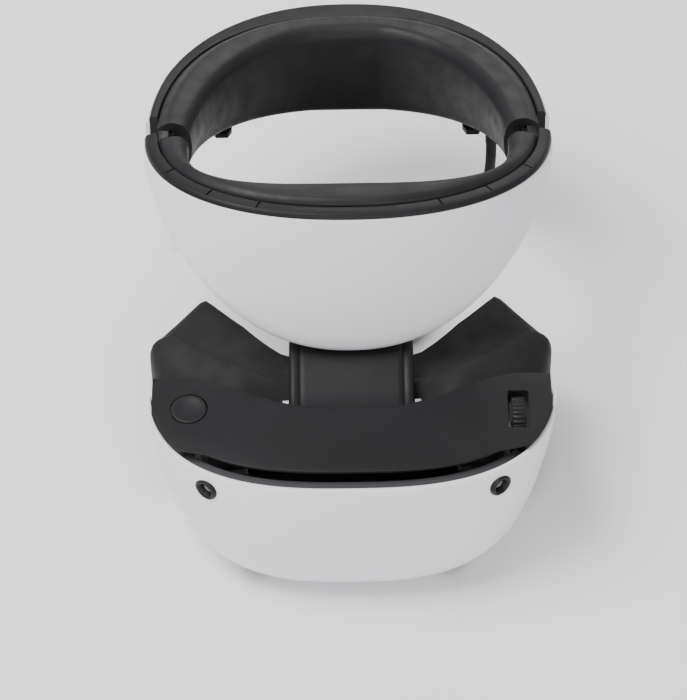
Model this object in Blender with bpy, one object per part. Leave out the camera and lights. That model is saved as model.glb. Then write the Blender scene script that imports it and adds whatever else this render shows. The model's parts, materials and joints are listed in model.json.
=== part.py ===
"""A head-worn display: a head band in two telescoping sections and a visor that slides on a neck.

Metres. +Z is up, -Y is the way the wearer looks, +X is the wearer's left. The origin is the middle of the
head opening. The band lies in a plane that is tilted about X, so its own axes are f (rearward) and u (up).
"""

from math import cos, pi, radians, sin, tau

import bmesh
import bpy
from mathutils import Vector

# Head band
BAND_TILT = radians(13)
BAND_HALF_WIDTH = 0.104
BAND_FRONT = 0.078
BAND_REAR = 0.134
BAND_POWER = 2.2
COVER_TOP = 0.010
COVER_END_HEIGHT = 0.010
COVER_MID_HEIGHT = 0.0715
COVER_THICKNESS = 0.0022
FRAME_THICKNESS = 0.0045
GAP = 0.0003
ARM_OUTER = 0.0920
ARM_THICKNESS = 0.0022
ARM_HALF_HEIGHT = 0.0062
ARM_END = 0.046
DIAL_HEIGHT = -0.0260

# Visor
VISOR_HALF_WIDTH = 0.1038
VISOR_FOOT_HALF_WIDTH = 0.0860
VISOR_SIDE_Y = -0.0995
VISOR_FRONT_REACH = 0.070
VISOR_FOOT_REACH = 0.078
VISOR_POWER = 2.7
VISOR_TOP = -0.0570
VISOR_BOTTOM = -0.1450
TOP_REAR_MIDDLE = -0.1220
TOP_REAR_CORNER = -0.0995
FASCIA_TOP = VISOR_TOP - 0.0045
FASCIA_THICKNESS = 0.0024
EYE_LEVEL = -0.1030
EYE_HALF_SPACING = 0.0325

# Neck and slide
NECK_HALF_WIDTH = 0.0315
NECK_LEVEL = -0.0650
NECK_THICKNESS = 0.0045
NECK_END = -0.1480

# Cable
CABLE_RADIUS = 0.0029
FLOOR = VISOR_BOTTOM
COIL_MEAN_RADIUS = 0.0346
COIL_CENTRE = Vector((0.000, 0.029))
COIL_COLUMNS = 5
COIL_ROWS = 4
TIE_THICKNESS = 0.0011

PALETTE = {
    "white shell": ((0.80, 0.80, 0.83), 0.42, 0.0),
    "black shell": ((0.028, 0.028, 0.031), 0.45, 0.0),
    "pad": ((0.030, 0.030, 0.033), 0.60, 0.0),
    "rubber": ((0.045, 0.045, 0.047), 0.75, 0.0),
    "button black": ((0.035, 0.035, 0.038), 0.40, 0.0),
    "steel": ((0.60, 0.61, 0.63), 0.30, 1.0),
    "brass": ((0.70, 0.52, 0.24), 0.35, 1.0),
    "aluminium": ((0.72, 0.73, 0.75), 0.38, 1.0),
    "gloss black": ((0.012, 0.012, 0.014), 0.12, 0.0),
    "lens glass": ((0.30, 0.34, 0.40), 0.04, 0.0),
    "board": ((0.012, 0.020, 0.018), 0.50, 0.0),
    "inner plastic": ((0.10, 0.10, 0.11), 0.55, 0.0),
}


def clear_scene():
    for thing in list(bpy.data.objects):
        bpy.data.objects.remove(thing, do_unlink=True)


def material(name):
    found = bpy.data.materials.get(name)
    if found:
        return found
    colour, roughness, metallic = PALETTE[name]
    made = bpy.data.materials.new(name)
    made.use_nodes = True
    shader = made.node_tree.nodes["Principled BSDF"]
    shader.inputs["Base Color"].default_value = (*colour, 1.0)
    shader.inputs["Roughness"].default_value = roughness
    shader.inputs["Metallic"].default_value = metallic
    return made


def add_object(name, bm, finish, origin=Vector((0, 0, 0)), smooth=35):
    """Turns bm, whose points are in world space, into an object with its origin at origin."""
    bmesh.ops.recalc_face_normals(bm, faces=bm.faces)
    bmesh.ops.translate(bm, verts=bm.verts, vec=-Vector(origin))
    mesh = bpy.data.meshes.new(name)
    bm.to_mesh(mesh)
    bm.free()
    made = bpy.data.objects.new(name, mesh)
    made.location = origin
    bpy.context.scene.collection.objects.link(made)
    mesh.materials.append(material(finish))
    mesh.shade_smooth()
    mesh.set_sharp_from_angle(angle=radians(smooth))
    return made


def cut(target, cutter, operation="DIFFERENCE"):
    """Applies a Boolean to target and removes the cutter."""
    step = target.modifiers.new(operation.lower(), "BOOLEAN")
    step.object = cutter
    step.operation = operation
    step.solver = "EXACT"
    bpy.context.view_layer.update()
    graph = bpy.context.evaluated_depsgraph_get()
    result = bpy.data.meshes.new_from_object(target.evaluated_get(graph))
    target.modifiers.remove(step)
    old = target.data
    target.data = result
    result.name = old.name
    bpy.data.meshes.remove(old)
    bpy.data.objects.remove(cutter, do_unlink=True)


def loft(bm, rings, capped=True, looped=False):
    """Skins closed rings of points, one after the other. looped joins the last ring to the first."""
    rows = [[bm.verts.new(point) for point in ring] for ring in rings]
    pairs = list(zip(rows, rows[1:]))
    if looped:
        pairs.append((rows[-1], rows[0]))
    for low, high in pairs:
        for i in range(len(low)):
            j = (i + 1) % len(low)
            bm.faces.new((low[i], low[j], high[j], high[i]))
    if capped and not looped:
        bm.faces.new(rows[0])
        bm.faces.new(rows[-1])


def box(bm, low, high):
    """A box between two corners."""
    x0, y0, z0 = low
    x1, y1, z1 = high
    rings = [[(x0, y0, z), (x1, y0, z), (x1, y1, z), (x0, y1, z)] for z in (z0, z1)]
    loft(bm, rings)


def axis_frame(axis):
    """A rotation that takes +Z to axis."""
    return Vector((0, 0, 1)).rotation_difference(Vector(axis).normalized()).to_matrix()


def turned(bm, centre, axis, profile, sides=24, hollow=False):
    """Spins a profile of (radius, height) about axis. hollow joins the last point to the first."""
    turn = axis_frame(axis)
    rings = []
    for radius, height in profile:
        ring = []
        for i in range(sides):
            angle = tau * i / sides
            ring.append(Vector(centre) + turn @ Vector((radius * cos(angle), radius * sin(angle), height)))
        rings.append(ring)
    loft(bm, rings, capped=not hollow, looped=hollow)


def ring_profile(inner, outer, low, high):
    return [(outer, low), (outer, high), (inner, high), (inner, low)]


def toothed(bm, centre, axis, teeth, root, tip, length, share=0.42, phase=0.0):
    """A spur gear: its teeth take share of the pitch at the root and half of that at the tip."""
    turn = axis_frame(axis)
    outline = []
    for i in range(teeth):
        middle = phase + tau * i / teeth
        half = 0.5 * share * tau / teeth
        for radius, offset in ((root, -half), (tip, -half / 2), (tip, half / 2), (root, half)):
            angle = middle + offset
            outline.append((radius * cos(angle), radius * sin(angle)))
    rings = []
    for height in (-length / 2, length / 2):
        rings.append([Vector(centre) + turn @ Vector((x, y, height)) for x, y in outline])
    loft(bm, rings)


# ---------------------------------------------------------------- head band


def band_point(angle, inset, u):
    """A point on the band's outline: angle 0 is the middle of the front, 90 degrees is +X."""
    reach = BAND_FRONT if cos(angle) >= 0 else BAND_REAR
    side = (BAND_HALF_WIDTH - inset) * abs(sin(angle)) ** (2 / BAND_POWER)
    along = (reach - inset) * abs(cos(angle)) ** (2 / BAND_POWER)
    x = side if sin(angle) >= 0 else -side
    f = -along if cos(angle) >= 0 else along
    return band_to_world(x, f, u)


def band_to_world(x, f, u):
    return Vector((x, f * cos(BAND_TILT) + u * sin(BAND_TILT), -f * sin(BAND_TILT) + u * cos(BAND_TILT)))


def band_axis():
    """The way the rear section slides out."""
    return Vector((0, cos(BAND_TILT), -sin(BAND_TILT)))


def sweep_band(bm, first, last, steps, section):
    """Sweeps section(angle), a closed list of (inset, u), along the band's outline."""
    rings = []
    for i in range(steps + 1):
        angle = radians(first + (last - first) * i / steps)
        rings.append([band_point(angle, inset, u) for inset, u in section(angle)])
    loft(bm, rings)


def crescent_foot(angle):
    """The height of the front cover's lower edge."""
    return COVER_TOP - COVER_END_HEIGHT - COVER_MID_HEIGHT * max(cos(angle), 0.0) ** 1.5


def brow_depth(angle):
    """How far inside the outline the forehead pad reaches, so that its inner edge is a squarish oval."""
    low, high = 0.012, 0.030
    for _ in range(24):
        depth = 0.5 * (low + high)
        x = (BAND_HALF_WIDTH - depth) * abs(sin(angle)) ** (2 / BAND_POWER)
        f = (BAND_FRONT - depth) * abs(cos(angle)) ** (2 / BAND_POWER)
        if (x / 0.0815) ** 3.4 + (f / 0.0525) ** 3.4 > 1:
            low = depth
        else:
            high = depth
    return depth


def build_front_section():
    def cover(angle):
        low = crescent_foot(angle)
        turn_in = 0.0065
        roll = min(0.008, 0.3 * (COVER_TOP - low))
        t = COVER_THICKNESS
        outer = [(0.0008, COVER_TOP), (0.0, COVER_TOP - 0.001)]
        outer += [(0.0, COVER_TOP - (COVER_TOP - low) * k) for k in (0.3, 0.6)]
        outer += [(0.0, low + roll), (0.0012, low + 0.4 * roll), (turn_in * 0.55, low)]
        inner = [(turn_in * 0.55 + 0.0005, low + t * 0.9), (t + 0.0010, low + 0.5 * roll + 0.0006)]
        inner += [(t, low + roll), (t, COVER_TOP - (COVER_TOP - low) * 0.6)]
        inner += [(t, COVER_TOP - (COVER_TOP - low) * 0.3), (t, COVER_TOP)]
        return outer + inner

    bm = bmesh.new()
    sweep_band(bm, -87, 87, 44, cover)
    add_object("front_cover", bm, "white shell")

    def frame(angle):
        low = crescent_foot(angle) + min(0.010, 0.4 * (COVER_TOP - crescent_foot(angle)))
        near = COVER_THICKNESS + GAP
        far = near + FRAME_THICKNESS
        top = COVER_TOP + 0.0035
        middle = 0.5 * (COVER_TOP + low)
        return [
            (near, COVER_TOP - 0.001), (near, middle), (near + 0.0006, low), (far, low),
            (far, middle), (far, top - 0.001), (far - 0.001, top), (0.0016, top),
            (0.0006, top - 0.0012), (0.0006, COVER_TOP + GAP), (near, COVER_TOP + GAP),
        ]

    bm = bmesh.new()
    sweep_band(bm, -89, 89, 44, frame)
    add_object("front_frame", bm, "black shell")

    def pad(angle):
        spread = max(cos(angle), 0.0)
        near = COVER_THICKNESS + FRAME_THICKNESS + 3 * GAP
        far = brow_depth(angle)
        top = COVER_TOP + 0.0043 + 0.0050 * spread
        low = crescent_foot(angle) + min(0.012, 0.5 * (COVER_TOP - crescent_foot(angle)))
        soft = 0.0045
        return [
            (near, low + 0.002), (near + soft, low), (far - soft, low), (far, low + soft),
            (far, top - soft), (far - 0.3 * soft, top - 0.3 * soft), (far - soft, top), (near + soft, top),
            (near, top - 0.0015),
        ]

    bm = bmesh.new()
    sweep_band(bm, -85.5, 85.5, 44, pad)
    add_object("forehead_pad", bm, "pad")

    for side, name in ((1, "arm_left"), (-1, "arm_right")):
        bm = bmesh.new()
        rings = []
        root = BAND_HALF_WIDTH - COVER_THICKNESS - FRAME_THICKNESS - 3 * GAP
        for f, outer in ((-0.0058, root - 0.0006), (0.0040, root), (0.0065, ARM_OUTER), (ARM_END, ARM_OUTER)):
            inner = ARM_OUTER - ARM_THICKNESS
            ring = [(outer, -ARM_HALF_HEIGHT), (outer, ARM_HALF_HEIGHT)]
            ring += [(inner, ARM_HALF_HEIGHT), (inner, -ARM_HALF_HEIGHT)]
            rings.append([band_to_world(side * x, f, u) for x, u in ring])
        loft(bm, rings)
        add_object(name, bm, "black shell")


def rear_drop(angle):
    """How far the rear section reaches down behind the size dial."""
    return 0.027 * max(-cos(angle), 0.0) ** 12


def rear_frame_depth(angle):
    return 0.0056 + 0.0092 * max(-cos(angle), 0.0) ** 4


def build_rear_section():
    first, last = 97.5, 262.5

    def cover(angle):
        t = COVER_THICKNESS
        drop = rear_drop(angle)
        return [
            (-0.0004, 0.0062), (-0.0010, 0.0050), (-0.0010, -0.0180 - drop), (0.0010, -0.0230 - drop),
            (0.0010 + t, -0.0215 - drop), (t - 0.0010, -0.0175 - drop), (t - 0.0010, 0.0062),
        ]

    bm = bmesh.new()
    sweep_band(bm, first, last, 44, cover)
    rear_cover = add_object("rear_cover", bm, "white shell")

    def frame(angle):
        spread = max(-cos(angle), 0.0)
        near = COVER_THICKNESS - 0.0010 + GAP
        far = rear_frame_depth(angle)
        lip = -0.0002 + 0.0017 * max(1 - spread / 0.45, 0.0)
        drop = rear_drop(angle)
        return [
            (near + 0.0002, 0.0062), (near + 0.0002, -0.0170 - drop), (near + 0.0022, -0.0215 - drop),
            (far, -0.0215 - drop), (far, 0.0085), (far - 0.001, 0.0095), (lip + 0.0012, 0.0095), (lip, 0.0085),
            (lip, 0.0062 + GAP), (near + 0.0002, 0.0062 + GAP),
        ]

    bm = bmesh.new()
    sweep_band(bm, first, last, 44, frame)
    rear_frame = add_object("rear_frame", bm, "black shell")

    def pad(angle):
        spread = max(-cos(angle), 0.0)
        over = rear_frame_depth(angle) + 2 * GAP
        under = max(0.0145, over)
        far = under + 0.0085 + 0.0105 * spread
        top, low = 0.0125 + 0.0015 * spread, -0.0120 - 0.0295 * spread
        soft = 0.0060
        middle = 0.5 * (top + low)
        return [
            (under, low + 0.003), (under + soft, low), (far - soft, low), (far - 0.0008, low + soft),
            (far, middle), (far - 0.0014, top - soft), (far - 0.4 * soft, top - 0.3 * soft),
            (far - 1.2 * soft, top), (over + 0.8 * soft, top - 0.0006), (over, 0.0092),
            (over, ARM_HALF_HEIGHT + 0.0016), (under, ARM_HALF_HEIGHT + 0.0016),
        ]

    bm = bmesh.new()
    sweep_band(bm, 93.5, 266.5, 46, pad)
    add_object("rear_pad", bm, "pad")

    # Size dial at the back, with the release button in its middle
    back = band_axis()
    hub = band_to_world(0, BAND_REAR, DIAL_HEIGHT)
    bm = bmesh.new()
    turned(bm, hub, back, [(0.0150, -0.030), (0.0150, 0.010)], 32)
    cut(rear_cover, add_object("hole", bm, "black shell"))
    bm = bmesh.new()
    turned(bm, hub, back, [(0.0042, -0.030), (0.0042, 0.010)], 24)
    cut(rear_frame, add_object("hole", bm, "black shell"))

    bm = bmesh.new()
    knurls = 36
    turn = axis_frame(back)
    outline = []
    for i in range(2 * knurls):
        radius = 0.0188 if i % 2 else 0.0195
        outline.append((radius * cos(pi * i / knurls), radius * sin(pi * i / knurls)))
    rings = []
    for scale, height in ((0.98, 0.0012), (1.0, 0.0020), (1.0, 0.0076), (0.95, 0.0088)):
        rings.append([hub + turn @ Vector((x * scale, y * scale, height)) for x, y in outline])
    for radius, height in ((0.0113, 0.0088), (0.0113, 0.0030)):
        ring = [hub + turn @ Vector((radius * cos(pi * i / knurls), radius * sin(pi * i / knurls), height))
                for i in range(2 * knurls)]
        rings.append(ring)
    loft(bm, rings)
    add_object("size_dial", bm, "white shell", hub)

    bm = bmesh.new()
    turned(bm, hub, back, [(0.0038, -0.0085), (0.0038, 0.0009)], 24)
    add_object("dial_shaft", bm, "steel", hub)
    bm = bmesh.new()
    turned(bm, hub, back, [(0.0108, 0.0050), (0.0108, 0.0088), (0.0098, 0.0095)], 28)
    add_object("dial_button", bm, "button black", hub)
    bm = bmesh.new()
    spring_profile = ring_profile(0.0055, 0.0070, 0.0033, 0.0047)
    turned(bm, hub, back, spring_profile, 20, True)
    add_object("dial_button_spring", bm, "steel", hub)

    # Earbud holders under the rear pad
    for side, name in ((1, "earbud_holder_left"), (-1, "earbud_holder_right")):
        bm = bmesh.new()
        rings = []
        for x, wide in ((0.0625, 0.003), (0.0645, 0.0045), (0.0710, 0.0045), (0.0730, 0.003)):
            ring = []
            for f, u in ((0.0, -0.0240), (0.0, -0.0370), (-0.004, -0.0415), (-0.010, -0.0430), (-0.016, -0.0415),
                         (-0.0155, -0.0390), (-0.010, -0.0400), (-0.006, -0.0388), (-0.0040, -0.0350),
                         (-0.0040, -0.0240)):
                ring.append(band_to_world(side * x, 0.0950 + f * wide / 0.0045, u))
            rings.append(ring)
        loft(bm, rings)
        add_object(name, bm, "button black")

    bm = bmesh.new()
    under = -band_to_world(0, 0, 1.0)
    socket_angle = radians(150)
    socket = band_point(socket_angle, 0.0083, -0.0236 - rear_drop(socket_angle))
    turned(bm, socket, under, ring_profile(0.00185, 0.0035, 0.0, 0.0050), 20, True)
    add_object("headphone_socket", bm, "gloss black", socket)


# ---------------------------------------------------------------- visor


def visor_reach(z):
    """Half width and forward reach of the visor's outline at height z."""
    t = (FASCIA_TOP - z) / (FASCIA_TOP - VISOR_BOTTOM)
    t = min(max(t, 0.0), 1.0)
    half = VISOR_HALF_WIDTH + (VISOR_FOOT_HALF_WIDTH - VISOR_HALF_WIDTH) * t ** 1.4
    reach = VISOR_FRONT_REACH + (VISOR_FOOT_REACH - VISOR_FRONT_REACH) * t + 0.004 * sin(pi * t)
    return half, reach


def visor_point(angle, inset, z):
    """A point on the visor's outline: angle -90 is the +X side, 0 the front, 90 the -X side."""
    half, reach = visor_reach(z)
    x = -(half - inset) * abs(sin(angle)) ** (2 / VISOR_POWER) * (1 if angle >= 0 else -1)
    y = VISOR_SIDE_Y - (reach - inset) * max(cos(angle), 0.0) ** (2 / VISOR_POWER)
    return Vector((x, y, z))


def sweep_visor(bm, span, steps, section):
    """Sweeps section(angle), a closed list of (inset, z), along the visor's outline."""
    rings = []
    for i in range(steps + 1):
        angle = radians(-span + 2 * span * i / steps)
        rings.append([visor_point(angle, inset, z) for inset, z in section(angle)])
    loft(bm, rings)


def visor_front_y(x, z, inset=0.0):
    """How far forward the outline reaches at x."""
    half, reach = visor_reach(z)
    ratio = min(abs(x) / (half - inset), 0.9999)
    return VISOR_SIDE_Y - (reach - inset) * (1 - ratio ** VISOR_POWER) ** (1 / VISOR_POWER)


def vent_inset(x):
    """The top panel stops short of the outline at the front, which leaves the vent gap, and not at the sides."""
    share = min(max((abs(x) - 0.070) / 0.020, 0.0), 1.0)
    return 0.0068 - 0.0054 * share


def top_rear_y(x):
    share = min(abs(x) / 0.088, 1.0) ** 1.35
    return TOP_REAR_MIDDLE + (TOP_REAR_CORNER - TOP_REAR_MIDDLE) * sin(0.5 * pi * share) ** 2


# Each camera's x, z, how far it is inside the outline, and the way it looks
CAMERAS = {
    "upper_left": (0.0732, -0.0740, 0.0, (0.62, -0.78, 0.05)),
    "upper_right": (-0.0732, -0.0740, 0.0, (-0.62, -0.78, 0.05)),
    "lower_left": (0.0500, -0.1415, 0.0125, (0.12, -0.42, -0.90)),
    "lower_right": (-0.0500, -0.1415, 0.0125, (-0.12, -0.42, -0.90)),
}
CAMERA_RADIUS = 0.0058


def build_visor_shells():
    t = FASCIA_THICKNESS
    foot = VISOR_BOTTOM

    def shell(angle):
        top = FASCIA_TOP - 0.0024 * max(cos(angle), 0.0) ** 1.5
        outer = [(0.0012, top), (0.0, top - 0.0012), (0.0, top - 0.012), (0.0, top - 0.028), (0.0, top - 0.044)]
        outer += [(0.0010, foot + 0.0200), (0.0040, foot + 0.0110), (0.0095, foot + 0.0042), (0.0180, foot)]
        inner = [(0.0183, foot + t), (0.0110, foot + 0.0062), (0.0062, foot + 0.0124), (t + 0.0012, foot + 0.0205)]
        return outer + inner + [(t, top - 0.044), (t, top - 0.028), (t, top - 0.012), (t, top)]

    bm = bmesh.new()
    sweep_visor(bm, 86, 48, shell)
    fascia = add_object("visor_front_cover", bm, "white shell")

    for name, (x, z, inset, axis) in CAMERAS.items():
        axis = Vector(axis).normalized()
        centre = Vector((x, visor_front_y(x, z, inset), z))
        bm = bmesh.new()
        turned(bm, centre, axis, [(CAMERA_RADIUS + GAP, -0.020), (CAMERA_RADIUS + GAP, 0.010)], 24)
        cut(fascia, add_object("hole", bm, "white shell"))
        bm = bmesh.new()
        rim = [(CAMERA_RADIUS, -0.0090), (CAMERA_RADIUS, 0.0004), (CAMERA_RADIUS - 0.0007, 0.0010)]
        dome = [(CAMERA_RADIUS - 0.0014, 0.0008), (0.0034, -0.0012), (0.0024, -0.0006), (0.0010, -0.0003)]
        turned(bm, centre, axis, rim + dome, 24)
        add_object("camera_" + name, bm, "gloss black", centre)

    # Top panel: a crowned plate, with the release button's hole and the wheel's slot
    bm = bmesh.new()
    rings = []
    steps = 48
    for i in range(steps + 1):
        x = (VISOR_HALF_WIDTH - 0.0034) * sin(radians(-90 + 180 * i / steps))
        rear, front = top_rear_y(x), visor_front_y(x, FASCIA_TOP, vent_inset(x))
        crown = VISOR_TOP - 0.0026 * (x / VISOR_HALF_WIDTH) ** 2
        edge = 0.0012
        thick = 0.0030 - 0.0015 * min(abs(x) / 0.080, 1.0) ** 4
        ring = [(rear, crown - thick), (rear, crown - 0.0008), (rear - edge, crown)]
        ring += [(rear + (front - rear) * k, crown) for k in (0.33, 0.66)]
        ring += [(front + edge, crown - 0.0004), (front, crown - 0.6 * thick), (front + edge, crown - thick)]
        rings.append([Vector((x, y, z)) for y, z in ring])
    loft(bm, rings)
    panel = add_object("visor_top_panel", bm, "black shell")
    bm = bmesh.new()
    turned(bm, BUTTON_CENTRE, (0, 0, 1), [(BUTTON_RADIUS + 0.0005, -0.010), (BUTTON_RADIUS + 0.0005, 0.010)], 36)
    cut(panel, add_object("hole", bm, "black shell"))
    bm = bmesh.new()
    half_w, half_l = 0.0053, 0.0118
    x, y = WHEEL_CENTRE.x, WHEEL_CENTRE.y
    box(bm, (x - half_w, y - half_l, VISOR_TOP - 0.020), (x + half_w, y + half_l, VISOR_TOP + 0.020))
    cut(panel, add_object("slot", bm, "black shell"))

    bm = bmesh.new()
    top = FASCIA_TOP
    ledge = [(0.0030, top - 0.0034), (0.0030, top - 0.0048), (0.0074, top - 0.0048), (0.0074, top - 0.0034)]
    sweep_visor(bm, 52, 36, lambda angle: ledge)
    add_object("vent_ledge", bm, "inner plastic")

    # Bottom panel, with holes for two buttons and the microphone
    bm = bmesh.new()
    rings = []
    steps = 36
    for i in range(steps + 1):
        x = 0.0660 * sin(radians(-90 + 180 * i / steps))
        front = visor_front_y(x, foot, 0.0187)
        rear = -0.1080 - 0.0120 * max(1 - (x / 0.020) ** 2, 0.0)
        ring = [(rear, foot + 0.0024), (rear, foot), (front, foot), (front, foot + 0.0024)]
        rings.append([Vector((x, y, z)) for y, z in ring])
    loft(bm, rings)
    bottom = add_object("visor_bottom_panel", bm, "black shell")
    for centre, half_x, half_y, _name, _finish in UNDER_BUTTONS:
        bm = bmesh.new()
        low = (centre.x - half_x - GAP, centre.y - half_y - GAP, foot - 0.005)
        high = (centre.x + half_x + GAP, centre.y + half_y + GAP, foot + 0.010)
        box(bm, low, high)
        cut(bottom, add_object("hole", bm, "black shell"))
    for centre, half_x, half_y, name, finish in UNDER_BUTTONS:
        bm = bmesh.new()
        rings = []
        for grow, z in ((0.0, foot + 0.0060), (0.0, foot + 0.0002), (-0.0006, foot - 0.0006)):
            rings.append([(centre.x + sx * (half_x + grow), centre.y + sy * (half_y + grow), z)
                          for sx, sy in ((-1, -1), (1, -1), (1, 1), (-1, 1))])
        loft(bm, rings)
        add_object(name, bm, finish, centre)


BUTTON_CENTRE = Vector((-0.0816, -0.1205, VISOR_TOP - 0.0017))
BUTTON_RADIUS = 0.0090
WHEEL_CENTRE = Vector((0.0832, -0.1233, VISOR_TOP - 0.0145))
WHEEL_RADIUS = 0.0140
UNDER_BUTTONS = [
    (Vector((-0.032, -0.150, VISOR_BOTTOM)), 0.0060, 0.0030, "power_button", "button black"),
    (Vector((0.032, -0.150, VISOR_BOTTOM)), 0.0060, 0.0030, "function_button", "button black"),
]


def build_visor_controls():
    bm = bmesh.new()
    r = BUTTON_RADIUS
    cap = [(r, -0.0040), (r, -0.0002), (r - 0.0006, 0.0004), (r - 0.0022, 0.0002), (0.0015, -0.0006)]
    turned(bm, BUTTON_CENTRE, (0, 0, 1), cap, 36)
    add_object("visor_release_button", bm, "button black", BUTTON_CENTRE)
    bm = bmesh.new()
    spring = BUTTON_CENTRE - Vector((0, 0, 0.0043))
    turned(bm, spring, (0, 0, 1), ring_profile(0.0038, 0.0052, -0.0062, 0.0), 20, True)
    add_object("release_button_spring", bm, "steel", spring)

    bm = bmesh.new()
    teeth = 30
    outline = []
    for i in range(2 * teeth):
        radius = WHEEL_RADIUS - (0.0007 if i % 2 else 0.0)
        outline.append((radius * cos(pi * i / teeth), radius * sin(pi * i / teeth)))
    rings = []
    for scale, x in ((0.96, -0.0036), (1.0, -0.0030), (1.0, 0.0030), (0.96, 0.0036)):
        rings.append([WHEEL_CENTRE + Vector((x, a * scale, b * scale)) for a, b in outline])
    loft(bm, rings)
    add_object("lens_spacing_wheel", bm, "button black", WHEEL_CENTRE)

    bm = bmesh.new()
    start, end = WHEEL_CENTRE.x - 0.0039, SCREW_END_X
    turned(bm, (0, WHEEL_CENTRE.y, WHEEL_CENTRE.z), (1, 0, 0), [(0.0019, end), (0.0019, start)], 16)
    add_object("lens_spacing_screw", bm, "brass", WHEEL_CENTRE)


SCREW_END_X = 0.0440


def build_neck():
    """The neck comes down from the front frame and runs into the visor, which slides along it."""
    bm = bmesh.new()
    z = NECK_LEVEL
    t = NECK_THICKNESS
    top, under_z = z + t / 2, z - t / 2
    line = [(-0.0760, top + 0.0088), (-0.0880, top + 0.0074), (-0.0980, top + 0.0050), (-0.1060, top + 0.0022),
            (-0.1130, top + 0.0004), (-0.1230, top), (NECK_END, top)]
    under = [(NECK_END, under_z), (-0.1230, under_z), (-0.1080, under_z + 0.0016), (-0.0960, under_z + 0.0040),
             (-0.0860, under_z + 0.0060), (-0.0760, under_z + 0.0070)]
    rings = []
    for x, drop in ((-NECK_HALF_WIDTH, 0.0012), (-NECK_HALF_WIDTH + 0.0012, 0.0), (0.0, 0.0),
                    (NECK_HALF_WIDTH - 0.0012, 0.0), (NECK_HALF_WIDTH, 0.0012)):
        ring = [Vector((x, y, height - drop)) for y, height in line]
        ring += [Vector((x, y, height + 0.4 * drop)) for y, height in under]
        rings.append(ring)
    loft(bm, rings)
    add_object("neck", bm, "black shell")

    for side, name in ((1, "guide_rail_left"), (-1, "guide_rail_right")):
        bm = bmesh.new()
        x0 = side * (NECK_HALF_WIDTH + GAP)
        x1 = side * (NECK_HALF_WIDTH + GAP + 0.0030)
        box(bm, (min(x0, x1), NECK_END, z - 0.0014), (max(x0, x1), -0.1120, z + 0.0014))
        add_object(name, bm, "steel")
    for side, name in ((1, "slide_shoe_left"), (-1, "slide_shoe_right")):
        bm = bmesh.new()
        near = NECK_HALF_WIDTH + 0.0008
        far = NECK_HALF_WIDTH + 0.0062
        groove = NECK_HALF_WIDTH + 0.0036
        profile = [(near, -0.0032), (far, -0.0032), (far, 0.0032), (near, 0.0032), (near, 0.0017),
                   (groove, 0.0017), (groove, -0.0017), (near, -0.0017)]
        rings = [[Vector((side * x, y, z + h)) for x, h in profile] for y in (-0.1380, -0.1160)]
        loft(bm, rings)
        add_object(name, bm, "brass")


def oval(half_width, half_height, power, steps):
    """Points (x, z, angle) round an oval about the middle of the face opening."""
    points = []
    for i in range(steps):
        angle = tau * i / steps
        c, s = cos(angle), sin(angle)
        x = half_width * (1 if c >= 0 else -1) * abs(c) ** (2 / power)
        z = half_height * (1 if s >= 0 else -1) * abs(s) ** (2 / power)
        points.append((x, z, angle))
    return points


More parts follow.
